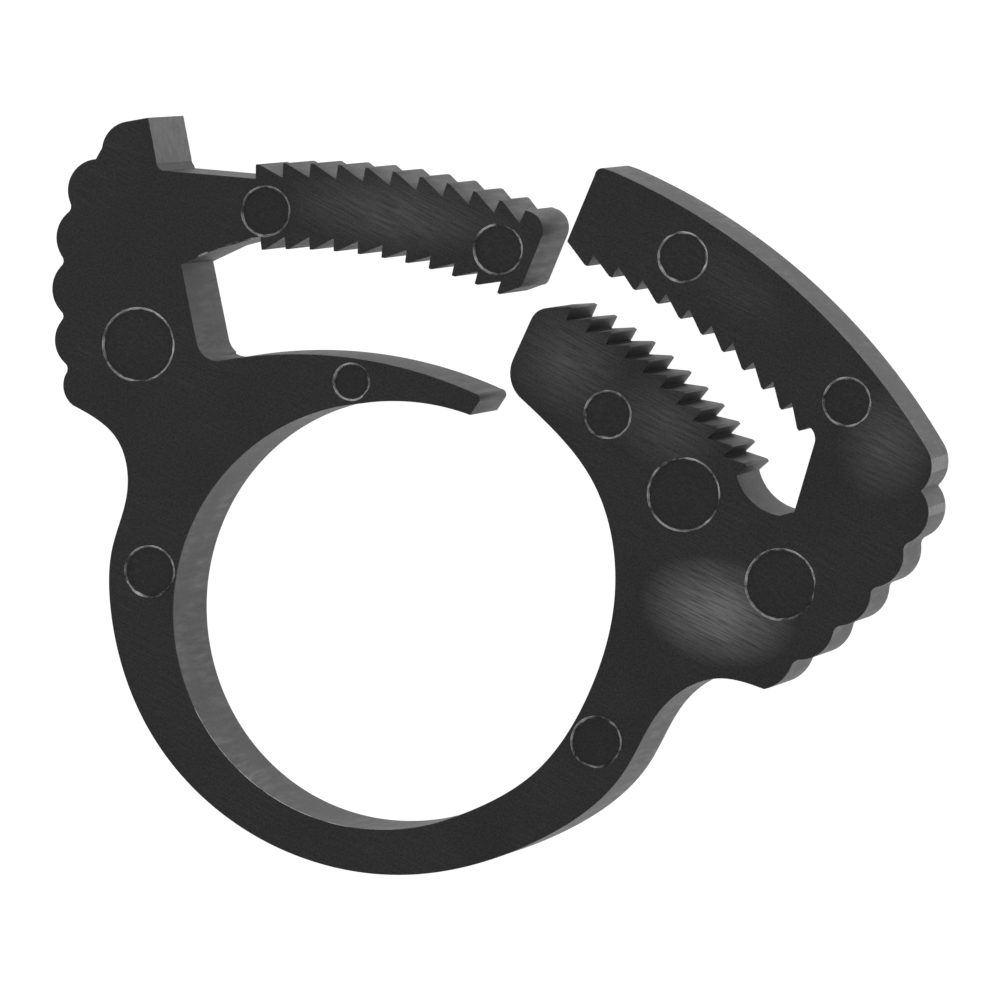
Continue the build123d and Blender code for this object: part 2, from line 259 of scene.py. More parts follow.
def slab(name: str, plan: Sequence[Point], low: float, high: float) -> bpy.types.Object:
    """Make an upright solid on a plan.

    Args:
        name: Name of the object.
        plan: Corners in plan.
        low: Height of its underside.
        high: Height of its top.

    Returns:
        The closed solid.
    """
    bpy.ops.object.select_all(action="DESELECT")
    bpy.ops.mesh.primitive_circle_add(vertices=len(plan), radius=MM, fill_type="NGON")
    piece = bpy.context.active_object
    piece.name = piece.data.name = name
    for vertex, place in zip(piece.data.vertices, plan):
        vertex.co = at(place, low)
    bpy.ops.object.mode_set(mode="EDIT")
    bpy.ops.mesh.select_all(action="SELECT")
    bpy.ops.mesh.extrude_region_move(TRANSFORM_OT_translate={"value": (0, 0, (high - low) * MM)})
    bpy.ops.mesh.select_all(action="SELECT")
    bpy.ops.mesh.normals_make_consistent(inside=False)
    bpy.ops.object.mode_set(mode="OBJECT")
    return piece


def cut_loops(piece: bpy.types.Object, planes: Sequence[tuple[Point, Point]]) -> None:
    """Cut edge loops round a piece by bisecting it, so that it can bend smoothly.

    Args:
        piece: Object to cut.
        planes: For each loop, a point of an upright plane and the direction it faces.
    """
    pick(piece)
    bpy.ops.object.mode_set(mode="EDIT")
    for place, facing in planes:
        bpy.ops.mesh.select_all(action="SELECT")
        bpy.ops.mesh.bisect(plane_co=at(place), plane_no=(facing[0], facing[1], 0), threshold=1e-7)
    bpy.ops.object.mode_set(mode="OBJECT")


def merge(pieces: Sequence[bpy.types.Object], name: str) -> bpy.types.Object:
    """Join separate objects into one.

    Args:
        pieces: Objects to join.
        name: Name of the joined object.

    Returns:
        The joined object.
    """
    bpy.ops.object.select_all(action="DESELECT")
    for piece in pieces:
        piece.select_set(True)
    bpy.context.view_layer.objects.active = pieces[0]
    bpy.ops.object.join()
    pieces[0].name = name
    return pieces[0]


# ------------------------------------------------------------------ finishes


def linear(hex_colour: str) -> tuple[float, float, float, float]:
    """Turn an sRGB hex colour such as #2a2a2b into linear red, green, blue and alpha."""
    parts = [int(hex_colour[i : i + 2], 16) / 255 for i in (1, 3, 5)]
    red, green, blue = (c / 12.92 if c <= 0.04045 else ((c + 0.055) / 1.055) ** 2.4 for c in parts)
    return (red, green, blue, 1.0)


def add_node(tree: bpy.types.NodeTree, kind: str, inputs: dict | None = None, **settings: object) -> bpy.types.Node:
    """Add a node with its settings and links.

    Args:
        tree: Node tree to add to.
        kind: Blender's name for the node.
        inputs: For each input, by name or number, a value or the output socket that feeds it.
        settings: Values of the node's own properties.

    Returns:
        The new node.
    """
    node = tree.nodes.new(kind)
    for key, value in settings.items():
        setattr(node, key, value)
    for key, value in (inputs or {}).items():
        if isinstance(value, bpy.types.NodeSocket):
            tree.links.new(value, node.inputs[key])
        else:
            node.inputs[key].default_value = value
    return node


@dataclass(frozen=True)
class PaintedSheen:
    """A patch of painted sheen, lighter base colour fixed to the face, in plan: its middle, reach and direction,
    and how light it is.
    """

    middle: Point
    reach: Point
    turn_deg: float
    share: float


@dataclass(frozen=True)
class NylonFinish:
    """Black nylon 6/6, injection moulded and left as it came from the tool.

    Attributes:
        name: Name of the material.
        dark: Colour of the plain skin.
        light: Colour of the grain and streaks at their lightest, and of the painted sheen patches.
        roughness: Lowest and highest roughness.
        grain_mm: Size of the fine grain left by the tool's surface.
        streak_mm: Length, width and height of a streak.
        streak_deg: Direction of the streaks from +X.
        grain_share: How far the grain reaches from dark to light.
        streak_share: How far a streak reaches from dark to light.
        bump_mm: Height of the grain.
        grain_range: Values of the grain's noise at its darkest and lightest.
        ior: Refractive index.
        painted_sheens: Patches of painted sheen, lighter base colour at fixed places on the face.
    """

    name: str
    dark: str
    light: str
    roughness: tuple[float, float]
    grain_mm: float
    streak_mm: tuple[float, float, float]
    streak_deg: float
    grain_share: float
    streak_share: float
    bump_mm: float
    grain_range: tuple[float, float] = (0.30, 0.75)
    ior: float = 1.53
    painted_sheens: tuple[PaintedSheen, ...] = ()

    def build(self) -> bpy.types.Material:
        """Make the material and return it."""
        material = bpy.data.materials.new(self.name)
        material.use_nodes = True
        tree = material.node_tree
        tree.nodes.clear()
        place = add_node(tree, "ShaderNodeTexCoord").outputs["Object"]
        grain = add_node(tree, "ShaderNodeTexNoise", {"Vector": place, "Scale": 1 / (self.grain_mm * MM),
                                                      "Detail": 3.0, "Roughness": 0.6}).outputs["Fac"]
        along = add_node(tree, "ShaderNodeMapping", {"Vector": place, "Rotation": (0, 0, radians(self.streak_deg)),
                                                     "Scale": [v * MM for v in self.streak_mm]},
                         vector_type="TEXTURE").outputs["Vector"]
        streak = add_node(tree, "ShaderNodeTexNoise", {"Vector": along, "Scale": 1.0, "Detail": 4.0,
                                                       "Roughness": 0.65}).outputs["Fac"]
        cloud = add_node(tree, "ShaderNodeTexNoise", {"Vector": place, "Scale": 1 / (7 * MM), "Detail": 2.0,
                                                      "Roughness": 0.5}).outputs["Fac"]
        streaks = self.spread(tree, streak, 0.42, 0.75, self.streak_share)
        cloudy = self.spread(tree, cloud, 0.38, 0.62, 1.0)
        total = self.math(tree, "ADD", self.spread(tree, grain, *self.grain_range, self.grain_share),
                          self.math(tree, "MULTIPLY", streaks, cloudy))
        # painted sheen: each patch adds lightness to the base colour at its place
        for sheen in self.painted_sheens:
            total = self.math(tree, "ADD", total, self.glow(tree, place, streak, sheen))
        ramp = add_node(tree, "ShaderNodeValToRGB", {"Fac": total})
        ramp.color_ramp.elements[0].color = linear(self.dark)
        ramp.color_ramp.elements[1].color = linear(self.light)
        rough = add_node(tree, "ShaderNodeMapRange", {"Value": total, "To Min": self.roughness[1],
                                                      "To Max": self.roughness[0]}).outputs["Result"]
        height = self.math(tree, "ADD", grain, self.math(tree, "MULTIPLY", streak, 0.5))
        bump = add_node(tree, "ShaderNodeBump", {"Height": height, "Distance": self.bump_mm * MM, "Strength": 1.0})
        skin = add_node(tree, "ShaderNodeBsdfPrincipled", {"Base Color": ramp.outputs["Color"], "Roughness": rough,
                                                           "IOR": self.ior, "Normal": bump.outputs["Normal"]})
        add_node(tree, "ShaderNodeOutputMaterial", {"Surface": skin.outputs["BSDF"]})
        return material

    def glow(self, tree: bpy.types.NodeTree, place: bpy.types.NodeSocket, streak: bpy.types.NodeSocket,
             sheen: PaintedSheen) -> bpy.types.NodeSocket:
        """Add one streaky patch of painted sheen, lighter base colour at a fixed place on the face.

        Args:
            tree: Node tree of the material.
            place: Object coordinates.
            streak: The streaks that break the patch up.
            sheen: The patch.

        Returns:
            The socket with the patch's lightness.
        """
        patch = add_node(tree, "ShaderNodeMapping", {
            "Vector": place, "Location": at(sheen.middle, WIDTH), "Rotation": (0, 0, radians(sheen.turn_deg)),
            "Scale": at(sheen.reach, WIDTH)}, vector_type="TEXTURE").outputs["Vector"]
        fade = add_node(tree, "ShaderNodeTexGradient", {"Vector": patch}, gradient_type="SPHERICAL").outputs["Fac"]
        return self.math(tree, "MULTIPLY", self.spread(tree, fade, 0.0, 1.0, sheen.share),
                         self.spread(tree, streak, 0.26, 0.60, 1.0))

    @staticmethod
    def math(tree: bpy.types.NodeTree, operation: str, first: object, second: object) -> bpy.types.NodeSocket:
        """Add a sum or product of two values and return its socket."""
        return add_node(tree, "ShaderNodeMath", {0: first, 1: second}, operation=operation).outputs[0]

    @staticmethod
    def spread(tree: bpy.types.NodeTree, value: bpy.types.NodeSocket, low: float, high: float,
               share: float) -> bpy.types.NodeSocket:
        """Stretch a value's range from low and high to 0 and a share, and return its socket."""
        settings = {"Value": value, "From Min": low, "From Max": high, "To Max": share}
        return add_node(tree, "ShaderNodeMapRange", settings).outputs["Result"]


@dataclass(frozen=True)
class LightTableFinish:
    """White opal acrylic lit from below, which the clamp is laid on; it glows evenly and takes no shadow."""

    name: str = "opal_acrylic_backlit"
    colour: str = "#626262"
    roughness: float = 0.6
    glow: float = 1.02

    def build(self) -> bpy.types.Material:
        """Make the material and return it."""
        material = bpy.data.materials.new(self.name)
        material.use_nodes = True
        tree = material.node_tree
        tree.nodes.clear()
        sheet = add_node(tree, "ShaderNodeBsdfPrincipled", {
            "Base Color": linear(self.colour), "Roughness": self.roughness,
            "Emission Color": (1.0, 1.0, 1.0, 1.0), "Emission Strength": self.glow})
        add_node(tree, "ShaderNodeOutputMaterial", {"Surface": sheet.outputs["BSDF"]})
        return material


# the broad faces lie on the mould's flat halves: fine even grain, faint diagonal flow streaks, and lighter patches
# that are painted sheen, lighter base colour at fixed places
FACE = NylonFinish(name="nylon_face_with_painted_sheen", dark="#0e0e0f", light="#858586", roughness=(0.42, 0.52),
                   grain_mm=0.14, streak_mm=(2.6, 0.11, 1.0), streak_deg=-26, grain_share=0.15, streak_share=0.10,
                   bump_mm=0.004,
                   # painted sheen patches, the strongest a painted highlight on the fork's head near (24.5, 0.7)
                   painted_sheens=(PaintedSheen((24.5, 0.7), (5.8, 3.9), -14, 1.25), PaintedSheen((1.2, 28.6), (8.5, 3.0), -8, 0.42),
                           PaintedSheen((13.6, 18.2), (4.6, 4.2), -40, 0.38), PaintedSheen((20.6, 13.8), (4.6, 3.4), -40, 0.32),
                           PaintedSheen((36.6, 12.6), (4.4, 3.6), 70, 0.45), PaintedSheen((26.5, 23.0), (5.5, 2.6), -35, 0.10)))
# an ejector pin has a polished end, so its shallow mark is the darkest, plainest skin
PIN = NylonFinish(name="nylon_pin_mark", dark="#0b0b0c", light="#5a5a5b", roughness=(0.46, 0.56), grain_mm=0.12,
                  streak_mm=(0.5, 0.2, 1.0), streak_deg=-26, grain_share=0.30, streak_share=0.15, bump_mm=0.004)
# the side walls slid along the steel as the clamp was pushed out: smoother, with drag lines along the bore's axis;
# their lighter grey than the face is partly painted light, the light that upright walls catch
WALL = NylonFinish(name="nylon_wall_with_painted_light", dark="#161617", light="#4c4c4d", roughness=(0.40, 0.58),
                   grain_mm=0.25, streak_mm=(0.5, 0.5, 5.0), streak_deg=0, grain_share=0.20, streak_share=0.60,
                   bump_mm=0.003)
# the corners are barely rounded; their lighter colour is a painted thin soft highlight
EDGE = NylonFinish(name="nylon_corner_painted_highlight", dark="#1c1c1d", light="#6a6a6c", roughness=(0.34, 0.46),
                   grain_mm=0.7, streak_mm=(1.2, 0.3, 1.0), streak_deg=20, grain_share=0.35, streak_share=0.35,
                   bump_mm=0.003)
# flash is a thin lip of plastic squeezed between the mould's parts, rough; the beads are real, and their pale
# colour, bright in short arcs, is a painted highlight
FLASH = NylonFinish(name="nylon_flash_with_painted_highlight", dark="#262627", light="#d8d8da", roughness=(0.30, 0.42), grain_mm=1.5,
                    streak_mm=(1.5, 0.6, 1.0), streak_deg=20, grain_share=0.80, streak_share=0.60, bump_mm=0.006,
                    grain_range=(0.40, 0.66))


class Skin(Enum):
    """Material slots of a piece, in order."""

    FACE = 0
    WALL = 1
    EDGE = 2
    PIN = 3
    FLASH = 4


# ------------------------------------------------------------------ the moulding


@dataclass
class Zone:
    """A part of the moulding that rides on one CAD body, or that lies where the clamp bends from one to the next
    and is not hung on either.

    Attributes:
        name: Name of the piece.
        keep: Plan of what it keeps of the moulding.
        bodies: The body it rides on, or the two that it bends between.
        replaces: CAD nodes that it stands for.
        slot: Name of a material slot; not used.
        less: Plans of what is taken away from it.
        bend: Where it starts and ends bending.
        loops: Upright planes where edge loops are cut for the bend.
    """

    name: str
    keep: list[Point]
    bodies: tuple[str, ...]
    replaces: tuple[str, ...]
    slot: str
    less: list[list[Point]] = field(default_factory=list)
    bend: tuple[Point, Point] | None = None
    loops: list[tuple[Point, Point]] = field(default_factory=list)


def radial_loops(start_deg: float, end_deg: float, step_deg: float) -> list[tuple[Point, Point]]:
    """Give upright planes through the bore axis, evenly spaced between two angles.

    Args:
        start_deg: Angle where they start, which has no plane itself.
        end_deg: Angle where they end, which has none either.
        step_deg: About how far apart they are.

    Returns:
        A point of each plane and the direction it faces.
    """
    count = max(1, round(abs(end_deg - start_deg) / step_deg))
    turns = [start_deg + (end_deg - start_deg) * i / count for i in range(1, count)]
    return [((0.0, 0.0), polar((0, 0), 1, turn + 90)) for turn in turns]


def sector(from_deg: float, to_deg: float) -> list[Point]:
    """Give the plan of a wedge about the bore axis."""
    middle = (from_deg + to_deg) / 2
    return [(0, 0), polar((0, 0), FAR, from_deg), polar((0, 0), FAR, middle), polar((0, 0), FAR, to_deg)]


@dataclass
class TongueSide:
    """The tongue head with its finger grip, the toothed tongue and the lip that covers the gap in the ring."""

    joins_band_deg: float = 192.0
    outer: ToothRow = field(default_factory=lambda: ToothRow((-5.9, -12.16), 44.15, 43.15, 93.9, 2.6, True))
    inner: ToothRow = field(default_factory=lambda: ToothRow((-6.32, -12.72), 38.62, 39.5, 93.2, 2.6, True))
    notches: tuple[Point, ...] = ((-20.75, 32.2), (-22.4, 28.65), (-22.93, 24.9), (-22.95, 21.05),
                                  (-22.65, 17.4), (-22.5, 14.7))
    bumps: tuple[float, ...] = (1.15, 1.0, 1.05, 1.0, 0.62)
    parts_from_fork: tuple[Point, ...] = ((8.3, 14), (8.3, 22.4), (12.6, 22.6), (12.6, FAR))
    tongue_starts_x: float = -12.9
    tongue_bends_x: tuple[float, float] = (-12.6, -8.4)
    tongue_flexure_y: float = 28.7
    lip_top: float = 20.0
    lip_root_deg: float = 122.5
    lip_parts_deg: float = 107.0
    lip_middle_bend: tuple[float, float] = (122.4, 111.6)
    lip_tip_bend: tuple[float, float] = (105.0, 89.0)
    lip_r: float = 17.0
    shoulder_box: tuple[float, float, float, float] = (-17.2, 31.3, -15.6, 35.4)
    shoulder_draft: float = 0.42
    slot_box: tuple[float, float, float, float] = (-14.6, 18.2, -12.0, 25.0)
    slot_draft: float = 0.22

    def draw_head(self, pen: Pen) -> None:
        """Draw from the end of the band's back round the grip to the shoulder over the tongue."""
        left = self.notches[::-1]
        pen.scallops(left, self.bumps[::-1])
        pen.to((-20.3, 33.0))
        pen.arc((-19.75, 34.2), (-18.6, 34.85))
        pen.to((-16.9, 35.15), (-16.3, 32.1))
        pen.arc((-16.1, 31.6), (-15.6, 31.4))

    def draw_tongue(self, pen: Pen) -> None:
        """Draw the tongue, out along its outer teeth and back along its inner teeth, and the slot under it."""
        pen.to(*self.outer.points())
        pen.arc((11.75, 27.9), (11.7, 26.7))
        pen.to((10.4, 23.6))
        pen.arc((10.2, 23.35), (9.9, 23.25))
        pen.to(*self.inner.points()[::-1])
        pen.to((-11.8, 25.9), (-14.5, 24.75), (-13.35, 19.2))
        pen.arc((-12.8, 18.3), (-11.8, 17.95))

    def draw_lip(self, pen: Pen) -> None:
        """Draw the top and the tip of the lip."""
        pen.arc((-2.4, 18.3), (6.9, 15.85))
        pen.arc((7.25, 15.6), (7.2, 15.2))
        pen.to((6.6, 14.3))

    def lip_plan(self, angle_deg: float) -> list[Point]:
        """Give the plan that holds the lip from an angle to its tip."""
        corner = polar((0, 0), self.lip_top / sin(radians(angle_deg)), angle_deg)
        return [(0, 0), (8.3, 5), (8.3, self.lip_top), corner]

    def zones(self) -> list[Zone]:
        """Give the zones of this side of the clamp."""
        start = self.tongue_starts_x
        tongue = [(start, 21.0), (8.3, 21.0), *self.parts_from_fork[1:], (start, FAR)]
        root, tip = self.lip_plan(self.lip_root_deg), self.lip_plan(self.lip_parts_deg)
        side = [(0, 0), *self.parts_from_fork, (-FAR, FAR), polar((0, 0), FAR, self.joins_band_deg)]
        bend_from, bend_to = self.tongue_bends_x
        loops = [((bend_from + (bend_to - bend_from) * i / 8, 0.0), (1.0, 0.0)) for i in range(9)]
        head = Zone("tongue_head_moulding", side, ("tongue_head",),
                    ("tongue_head", "finger_grip_left", "band_shoulder_left"), "nylon_body", less=[tongue, root])
        blade = Zone("ratchet_tongue", tongue, ("tongue_head", "tongue"),
                     ("tongue", "tongue_outer_teeth", "tongue_inner_teeth"), "nylon_teeth",
                     bend=((bend_from, self.tongue_flexure_y), (bend_to, self.tongue_flexure_y)), loops=loops)
        first, last = self.lip_middle_bend
        lip_root = Zone("lip_root", root, ("tongue_head", "lip_middle"), ("lip_middle",), "nylon_band", less=[tip],
                        bend=(polar((0, 0), self.lip_r, first), polar((0, 0), self.lip_r, last)),
                        loops=radial_loops(self.lip_root_deg, self.lip_parts_deg, 1.2))
        first, last = self.lip_tip_bend
        lip_tip = Zone("lip_end", tip, ("lip_middle", "lip_tip"), ("lip_tip",), "nylon_band",
                       bend=(polar((0, 0), self.lip_r, first), polar((0, 0), self.lip_r, last)),
                       loops=radial_loops(self.lip_parts_deg, 83, 1.4))
        return [head, blade, lip_root, lip_tip]


@dataclass
class ForkSide:
    """The fork head with its finger grip, and the two toothed jaws that grip the tongue."""

    joins_band_deg: float = 322.0
    inner: ToothRow = field(default_factory=lambda: ToothRow((-3.83, -11.25), 37.6, 36.65, 62.0, 2.57, False))
    outer: ToothRow = field(default_factory=lambda: ToothRow((-0.12, -11.2), 39.13, 40.03, 67.3, 2.81, False))
    back_centre: Point = (-1.74, -13.06)
    back_r: float = 48.33
    back_deg: tuple[float, float] = (67.3, 31.8)
    notches: tuple[Point, ...] = ((39.0, 9.35), (37.65, 5.6), (35.4, 2.55), (32.8, -0.15), (29.9, -2.55),
                                  (27.8, -4.7))
    bumps: tuple[float, ...] = (1.15, 0.98, 0.92, 0.88, 0.45)
    parts_from_tongue: tuple[Point, ...] = ((8.3, 14), (8.3, 22.4), (12.6, 22.6), (12.6, FAR))
    gap: tuple[Point, ...] = ((28.6, 11.9), (20.7, 19.8), (13.3, 23.4))
    inner_jaw_seam: tuple[Point, Point] = ((16.2, 3.0), (27.5, 8.6))
    root_starts_y: float = 8.8
    root_ends_y: float = 11.5
    jaw_ends_bend_y: float = 14.5
    jaw_middle_x: float = 35.15
    loop_step: float = 0.3
    draft: tuple[float, float, float] = (15.0, 40.0, 0.42)    # where it starts and is full, and how much

    def draw_inner_jaw(self, pen: Pen) -> None:
        """Draw the nose and the teeth of the inner jaw."""
        pen.arc((9.55, 16.7), (9.7, 18.3))
        pen.to((11.0, 21.1))
        pen.arc((11.45, 21.65), (12.1, 21.9))
        pen.to(*self.inner.points())

    def draw_outer_jaw(self, pen: Pen) -> None:
        """Draw the throat of the fork, the teeth and the back of the outer jaw, and the grip."""
        pen.arc((27.15, 8.25), (28.9, 7.5))
        pen.to((29.95, 7.8), (31.35, 12.5))
        pen.arc((31.38, 13.2), (31.0, 13.75))
        pen.to(*self.outer.points()[::-1][1:])
        pen.to((13.6, 26.6), (15.6, 31.3))
        pen.arc((15.85, 31.68), (16.3, 31.72))
        first, last = self.back_deg
        start, middle, end = (polar(self.back_centre, self.back_r, d) for d in (first, (first + last) / 2, last))
        pen.to(start)
        pen.arc(middle, end)
        pen.arc((39.75, 10.9), self.notches[0])
        pen.scallops(self.notches, self.bumps)

    def zones(self) -> list[Zone]:
        """Give the zones of this side of the clamp."""
        side = [(0, 0), *self.parts_from_tongue, (FAR, FAR), (FAR, 0), polar((0, 0), FAR, self.joins_band_deg)]
        inner_jaw = [(0, 0), *self.inner_jaw_seam, *self.gap, *self.parts_from_tongue[2::-1]]
        beyond = [(FAR, FAR), (12.65, FAR), *self.gap[::-1]]
        outer = [(29.0, self.root_starts_y), (FAR, self.root_starts_y), *beyond]
        above = [(self.gap[0][0], self.root_ends_y), (FAR, self.root_ends_y), *beyond]
        head = Zone("fork_head_moulding", side, ("fork_side",),
                    ("fork_head", "finger_grip_right", "band_shoulder_right"), "nylon_body",
                    less=[inner_jaw, outer])
        (ax, ay), (bx, by) = self.inner_jaw_seam
        middle, length = ((ax + bx) / 2, (ay + by) / 2), ((bx - ax) ** 2 + (by - ay) ** 2) ** 0.5
        square = (-(by - ay) / length, (bx - ax) / length)
        steps = [(middle[0] + square[0] * d, middle[1] + square[1] * d) for d in (0.6, 1.2, 1.8, 2.4, 3.0)]
        inner = Zone("inner_jaw_moulding", inner_jaw, ("fork_side", "inner_jaw"), ("inner_jaw", "inner_jaw_teeth"),
                     "nylon_teeth", bend=(middle, steps[-1]), loops=[(step, square) for step in steps])
        heights = (self.root_starts_y, self.root_ends_y, self.jaw_ends_bend_y)
        low, seam, high = ((self.jaw_middle_x, y) for y in heights)
        root = Zone("outer_jaw_flexure", outer, ("fork_side", "outer_jaw_root"), ("outer_jaw_root",), "nylon_body",
                    less=[above], bend=(low, seam), loops=self.level_loops(self.root_starts_y, 8))
        jaw = Zone("outer_jaw_moulding", above, ("outer_jaw_root", "outer_jaw"), ("outer_jaw", "outer_jaw_teeth"),
                   "nylon_teeth", bend=(seam, high), loops=self.level_loops(self.root_ends_y, 10))
        return [head, inner, root, jaw]

    def level_loops(self, from_y: float, count: int) -> list[tuple[Point, Point]]:
        """Give planes across the outer jaw, one above the other."""
        return [((0.0, from_y + self.loop_step * i), (0.0, 1.0)) for i in range(1, count + 1)]


@dataclass
class Band:
    """The springy band of the ring, which bends at three places and twists at one."""

    bore_r: float = 15.1
    round_deg: tuple[float, float] = (95.0, 290.0)
    middle_r: float = 16.7
    parts_deg: tuple[float, ...] = (322.0, 278.0, 262.0, 228.0, 192.0)
    bodies: tuple[str, ...] = ("fork_side", "band_link_3", "band_link_2", "band_link_1", "tongue_head")
    names: tuple[str, ...] = ("band_right", "band_bottom", "band_lower_left", "band_left")
    loop_deg: float = 1.3
    core_draft: float = 0.30
    bore_found_within: float = 0.02

    def draw_bore(self, pen: Pen) -> None:
        """Draw the bore, from under the tip of the lip round to the nose of the inner jaw."""
        first, last = self.round_deg
        pen.to((6.6, 14.3))
        pen.arc((2.8, 15.15), polar((0, 0), self.bore_r, first))
        pen.arc(polar((0, 0), self.bore_r, (first + last) / 2), polar((0, 0), self.bore_r, last))
        pen.spline((11.2, -10.9), (15.2, -5.1), (17.05, 1.9), (15.35, 9.9), (10.4, 15.4),
                   leave=polar((0, 0), 1, last + 90), arrive=(-0.74, 0.67))

    def draw_back(self, pen: Pen, end: Point) -> None:
        """Draw the back of the band, from the fork's grip to the first notch of the tongue's."""
        pen.spline((24.5, -4.0), (20.7, -5.9), (17.8, -10.6), (11.2, -15.8), (1.2, -18.3), (-8.8, -15.9),
                   (-16.4, -9.15), (-19.75, 0.4), (-19.6, 4.6), (-18.5, 8.6), (-19.3, 12.4), end)

    def zones(self) -> list[Zone]:
        """Give the four bending lengths of the band."""
        found = []
        stands_for = {"band_right": ("band_link_3",), "band_bottom": ("band_link_2",),
                      "band_lower_left": ("band_link_1",), "band_left": ()}
        for i, name in enumerate(self.names):
            start, end = self.parts_deg[i], self.parts_deg[i + 1]
            bend = (polar((0, 0), self.middle_r, start), polar((0, 0), self.middle_r, end))
            found.append(Zone(name, sector(end, start), self.bodies[i : i + 2], stands_for[name], "nylon_band",
                              bend=bend, loops=radial_loops(start, end, self.loop_deg)))
        return found


@dataclass
class SurfaceMarks:
    """Marks of moulding on the upper face: shallow ejector-pin marks, and flash along some edges.

    Attributes:
        pins: Centre and radius of each ejector pin.
        depth: How deep the pins pressed.
        bead: Radius of the bead of flash round a pin.
        side_slope: Run for each rise of a mark's wall.
        plug_height: Height of the plugs that cut the marks.
        skin_depth: How far below the face the finish of a mark reaches.
        bore_flash_deg: Angles between which flash stands on the edge of the bore.
        bore_flash_r: Radius of the line that it follows.
        bore_bead: Radius of that flash where it is thickest.
        root_flash: Ends of the short beads along the lower edge of the tongue's root.
    """

    pins: tuple[tuple[float, float, float], ...] = (
        (-17.65, 19.05, 2.53), (-8.3, 28.58, 1.68), (8.6, 26.0, 1.68), (-2.05, 16.57, 1.23), (-16.85, 2.95, 1.74),
        (21.93, 25.55, 1.68), (33.7, 15.52, 1.62), (16.53, 14.45, 1.6), (22.0, 8.9, 2.5), (28.95, 2.68, 2.42),
        (15.7, -8.6, 1.72))
    depth: float = 0.12
    bead: float = 0.085
    side_slope: float = 0.5
    plug_height: float = 1.0
    skin_depth: float = 0.2
    bore_flash_deg: tuple[float, float] = (203.0, 262.0)
    bore_flash_r: float = 15.13
    bore_bead: float = 0.12
    root_flash: tuple[tuple[Point, Point], ...] = (
        ((-13.3, 25.32), (-12.5, 25.66)), ((-11.3, 26.1), (-10.2, 26.42)),
        ((-9.9, 26.5), (-8.7, 26.72)), ((-8.5, 26.76), (-7.9, 26.85)))

    def skin_at(self, point: Point, plain: Skin) -> Skin:
        """Tell which finish the upper face has at a point.

        Args:
            point: Where in plan.
            plain: The finish away from any mark.

        Returns:
            The finish there.
        """
        for x, y, radius in self.pins:
            away = Vector((point[0] - x, point[1] - y)).length - radius - self.depth * self.side_slope
            # the bead round a pin takes the FLASH finish, whose pale colour is a painted highlight
            if abs(away) < 1.25 * self.bead:
                return Skin.FLASH
            if away < 0:
                return Skin.PIN
        if plain is Skin.FACE:
            return plain
        near = 1.2 * self.bead
        turn = degrees(atan2(point[1], point[0])) % 360
        first, last = self.bore_flash_deg
        on_bore = first < turn < last and abs(Vector(point).length - self.bore_flash_r) < 1.5 * self.bead
        on_root = any(ax - near < point[0] < bx + near and ay - 1.5 * near < point[1] < by + 1.5 * near
                      for (ax, ay), (bx, by) in self.root_flash)
        # the bore's flash and the dashes under the tongue's root take the same painted highlight
        return Skin.FLASH if on_bore or on_root else plain

    def cutters(self) -> bpy.types.Object:
        """Make the tapered plugs that cut the pin marks, as one object."""
        plugs = []
        for x, y, radius in self.pins:
            bpy.ops.object.select_all(action="DESELECT")
            tall = self.plug_height
            bpy.ops.mesh.primitive_cone_add(vertices=RING_SIDES, radius1=radius * MM,
                                            radius2=(radius + tall * self.side_slope) * MM, depth=tall * MM,
                                            location=at((x, y), WIDTH - self.depth + tall / 2))
            bpy.ops.object.transform_apply(location=True, rotation=True, scale=True)
            plugs.append(bpy.context.active_object)
        return merge(plugs, "pin_plugs")

    def beads(self) -> bpy.types.Object:
        """Make the beads of flash round the pin marks and along the edges, as one object."""
        found = []
        for index, (x, y, radius) in enumerate(self.pins):
            bpy.ops.object.select_all(action="DESELECT")
            bpy.ops.mesh.primitive_torus_add(major_segments=RING_SIDES, minor_segments=BEAD_SIDES,
                                             minor_radius=self.bead * MM,
                                             major_radius=(radius + self.depth * self.side_slope) * MM)
            ring = bpy.context.active_object
            for vertex in ring.data.vertices:
                turn = atan2(vertex.co.y, vertex.co.x)
                swell = 0.55 + 0.30 * sin(turn + index * 1.9) + 0.15 * sin(5 * turn + index * 2.7)
                vertex.co.z *= swell
                vertex.co += Vector(at((x, y), WIDTH - 0.012))
            found.append(ring)
        found.append(self.bore_flash())
        found += [self.dash(start, end) for start, end in self.root_flash]
        return merge(found, "flash_beads")

    def bore_flash(self) -> bpy.types.Object:
        """Spin the thread of flash that stands on the edge of the bore, and return it."""
        first, last = self.bore_flash_deg
        steps = 96
        bpy.ops.object.select_all(action="DESELECT")
        bpy.ops.mesh.primitive_circle_add(vertices=BEAD_SIDES, radius=self.bore_bead * MM, fill_type="NGON",
                                          location=at((self.bore_flash_r, 0), WIDTH - 0.02),
                                          rotation=(pi / 2, 0, 0))
        thread = bpy.context.active_object
        bpy.ops.object.transform_apply(location=True, rotation=True, scale=True)
        thread.data.transform(Matrix.Rotation(radians(first), 4, "Z"))
        bpy.ops.object.mode_set(mode="EDIT")
        bpy.ops.mesh.select_all(action="SELECT")
        bpy.ops.mesh.spin(steps=steps, angle=radians(last - first), center=(0, 0, 0), axis=(0, 0, 1))
        bpy.ops.mesh.select_all(action="SELECT")
        bpy.ops.mesh.normals_make_consistent(inside=False)
        bpy.ops.object.mode_set(mode="OBJECT")
        for vertex in thread.data.vertices:
            turn = degrees(atan2(vertex.co.y, vertex.co.x)) % 360
            share = max(0.0, sin(pi * (turn - first) / (last - first)))
            swell = 0.25 + 0.75 * share**0.5 * (0.65 + 0.35 * sin(turn * 1.7) * sin(turn * 0.53))
            core = Vector(at(polar((0, 0), self.bore_flash_r, turn), WIDTH - 0.02))
            vertex.co = core + (vertex.co - core) * swell
        return thread

